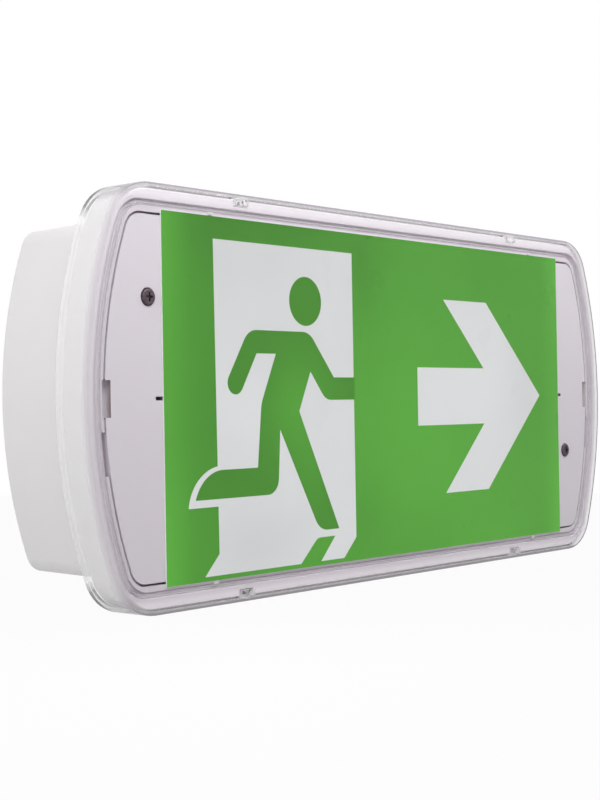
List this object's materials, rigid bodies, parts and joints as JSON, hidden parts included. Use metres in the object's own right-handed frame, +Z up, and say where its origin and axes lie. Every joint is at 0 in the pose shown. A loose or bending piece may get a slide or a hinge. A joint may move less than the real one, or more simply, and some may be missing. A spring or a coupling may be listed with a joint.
{
  "type": "emergency exit light",
  "caption": "Surface-mounted emergency exit light: white wall housing, gear tray with LED light box and battery, green legend panel and a clear clip-on cover.",
  "frame": {"origin": "middle of the housing's back face, which lies on the wall", "axes": "+X along the light to the reader's right, +Y into the wall, +Z up"},
  "size_m": [0.38, 0.0685, 0.1704],
  "materials": {
    "housing_plastic": "satin moulded polycarbonate",
    "gasket_foam": "matt foam",
    "clear_plastic": "clear gloss polycarbonate",
    "tray_plastic": "satin",
    "legend_print": "green print on translucent white",
    "screw_zinc": "dull zinc",
    "led_board": "white solder mask on aluminium",
    "led_lens": "phosphor under clear resin",
    "small_screws": "zinc plated",
    "circuit_board": "green solder mask",
    "ferrite": "dark ferrite and tape",
    "choke_winding": "heat-shrink sleeve",
    "capacitor_sleeve": "sleeved aluminium can",
    "socket_plastic": "nylon",
    "battery_sleeve": "shrink sleeve",
    "clip_plastic": "nylon",
    "terminal_plastic": "polyamide",
    "terminal_brass": "plated brass",
    "grommet_rubber": "matt"
  },
  "bodies": {
    "fitting": {"back_housing": "housing_plastic", "cover_gasket": "gasket_foam", "gear_tray": "tray_plastic", "legend_panel": "legend_print", "tray_screw_left": "screw_zinc", "tray_screw_right": "screw_zinc", "led_board_upper": "led_board", "leds_upper": "led_lens", "led_board_lower": "led_board", "leds_lower": "led_lens", "led_board_screws": "small_screws", "driver_board": "circuit_board", "isolating_transformer": "ferrite", "driver_choke": "choke_winding", "smoothing_capacitors": "capacitor_sleeve", "board_sockets": "socket_plastic", "driver_board_screws": "small_screws", "battery_pack": "battery_sleeve", "battery_clip_left": "clip_plastic", "battery_clip_right": "clip_plastic", "battery_clip_screws": "small_screws", "mains_terminal_block": "terminal_plastic", "terminal_clamp_screws": "terminal_brass", "terminal_fixing_screws": "small_screws", "entry_grommet": "grommet_rubber"},
    "cover": {"clear_cover": "clear_plastic"}
  },
  "joints": [
    {"name": "cover_lift_off", "type": "slide", "parent": "fitting", "child": "cover", "axis": [0, -1, 0], "range_m": [0, 0.025]}
  ]
}
